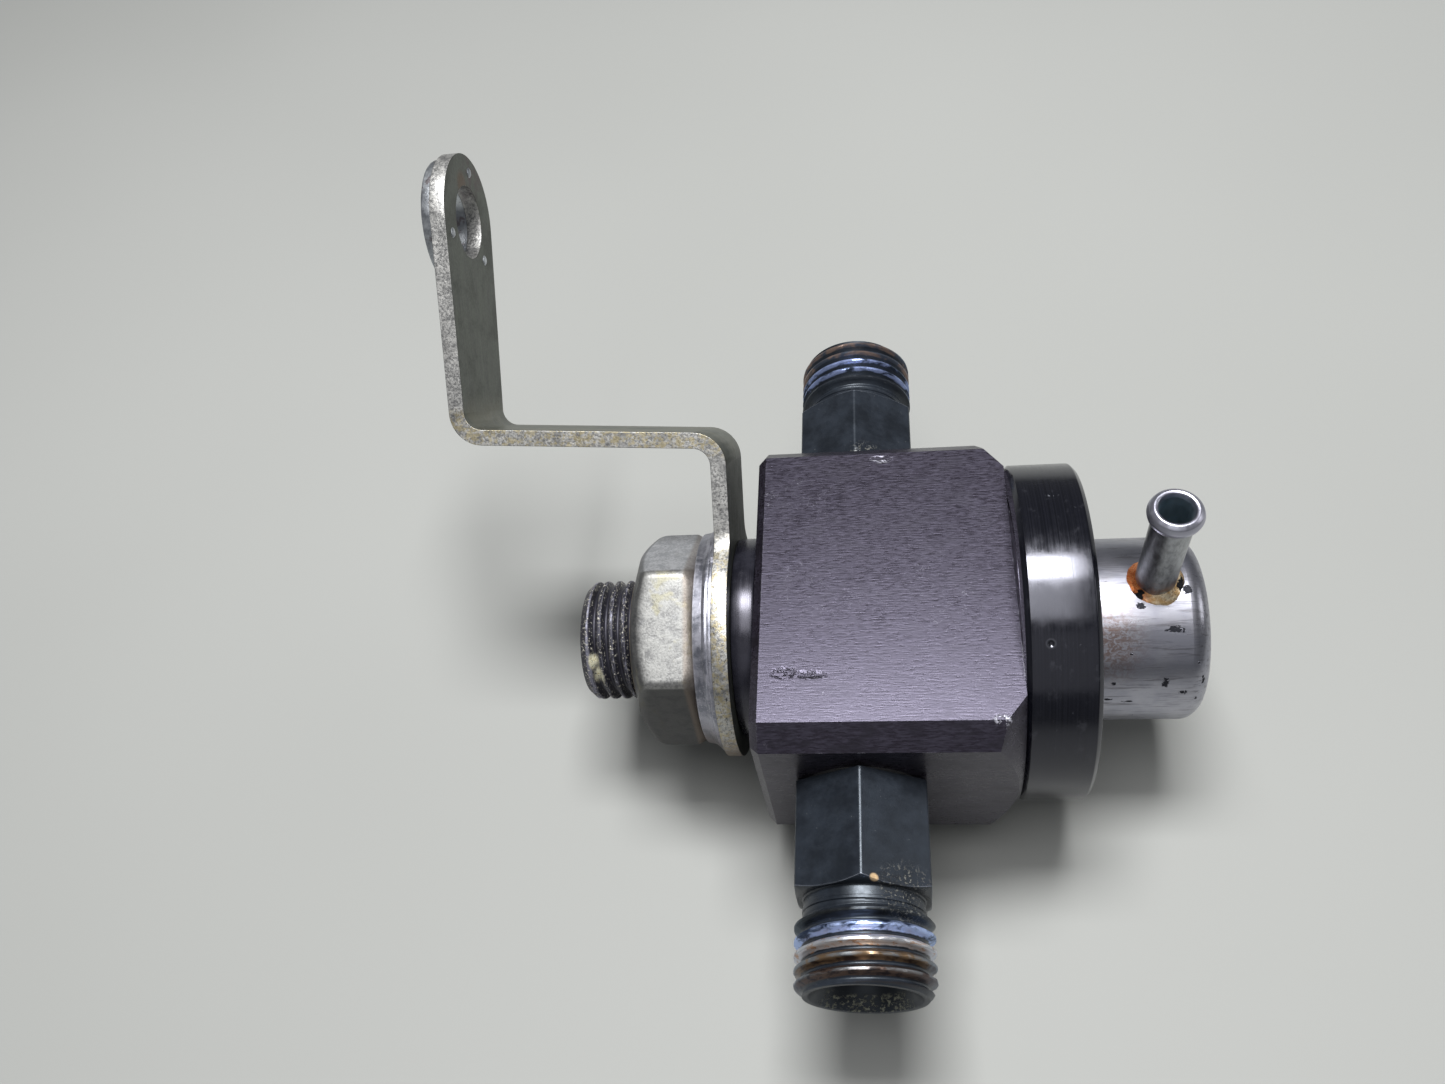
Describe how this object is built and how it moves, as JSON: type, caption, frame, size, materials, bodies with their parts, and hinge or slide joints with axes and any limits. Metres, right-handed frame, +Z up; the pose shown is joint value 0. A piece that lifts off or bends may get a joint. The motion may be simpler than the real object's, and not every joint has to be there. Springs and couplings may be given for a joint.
{
  "type": "fuel pressure regulator",
  "caption": "Inline fuel pressure regulator: black block with two side unions, return stub on a bent bracket, spring housing with vacuum nipple held by a threaded ring.",
  "frame": {"origin": "centre of the block's flat underside, directly below the crossing of the main axis and the port axis", "axes": "+X along the main axis from the return stub to the spring housing, +Y along the port axis towards the inlet union, +Z up, the way the vacuum nipple points"},
  "size_m": [0.0841, 0.0863, 0.0606],
  "materials": {
    "block": "satin black anodised, fine grain",
    "ring": "gloss black anodised, turned",
    "housing": "bright zinc plated, lightly stained",
    "nipple": "zinc plated tube",
    "braze": "copper braze",
    "diaphragm": "rubber on fabric",
    "stack": "plain steel",
    "ball": "polished steel",
    "seat": "machined brass",
    "spring": "spring steel wire",
    "union": "black anodised, worn threads",
    "gasket": "soft aluminium",
    "stub": "black anodised, turned",
    "seal": "nitrile rubber",
    "nut": "dull mottled zinc",
    "washer": "plated steel",
    "bracket": "zinc with yellowish passivation at the edges"
  },
  "bodies": {
    "regulator": {"valve_block": "block", "clamp_ring": "ring", "spring_housing": "housing", "vacuum_nipple": "nipple", "nipple_braze": "braze", "diaphragm": "diaphragm", "valve_seat": "seat", "main_spring": "spring", "inlet_union": "union", "outlet_union": "union", "inlet_gasket": "gasket", "outlet_gasket": "gasket", "return_stub": "stub", "stub_seal": "seal"},
    "valve_stack": {"back_plate": "stack", "spring_cup": "stack", "valve_holder": "stack", "valve_ball": "ball"},
    "washers": {"flange_washer": "washer", "lock_washer": "washer"},
    "nut": {"stub_nut": "nut"},
    "bracket": {"bracket": "bracket", "backing_disc": "bracket"}
  },
  "joints": [
    {"name": "valve_lift", "type": "slide", "parent": "regulator", "child": "valve_stack", "axis": [1, 0, 0], "range_m": [0, 0.001], "stiffness_N_per_m": 5800, "springref_m": -0.001, "deforming": ["main_spring", "diaphragm"]},
    {"name": "nut_travel", "type": "slide", "parent": "regulator", "child": "washers", "axis": [-1, 0, 0], "range_m": [0, 0.004]},
    {"name": "nut_turn", "type": "hinge", "parent": "washers", "child": "nut", "pos_m": [-0.0224, 0, 0.0125], "axis": [-1, 0, 0], "range_deg": [0, 1020.97]},
    {"name": "bracket_swivel", "type": "hinge", "parent": "regulator", "child": "bracket", "pos_m": [-0.01477, 0, 0.0125], "axis": [1, 0, 0], "continuous": true}
  ],
  "couplings": [
    {"joint": "nut_turn", "follows": "nut_travel", "rad_per_m": 4452.7}
  ]
}
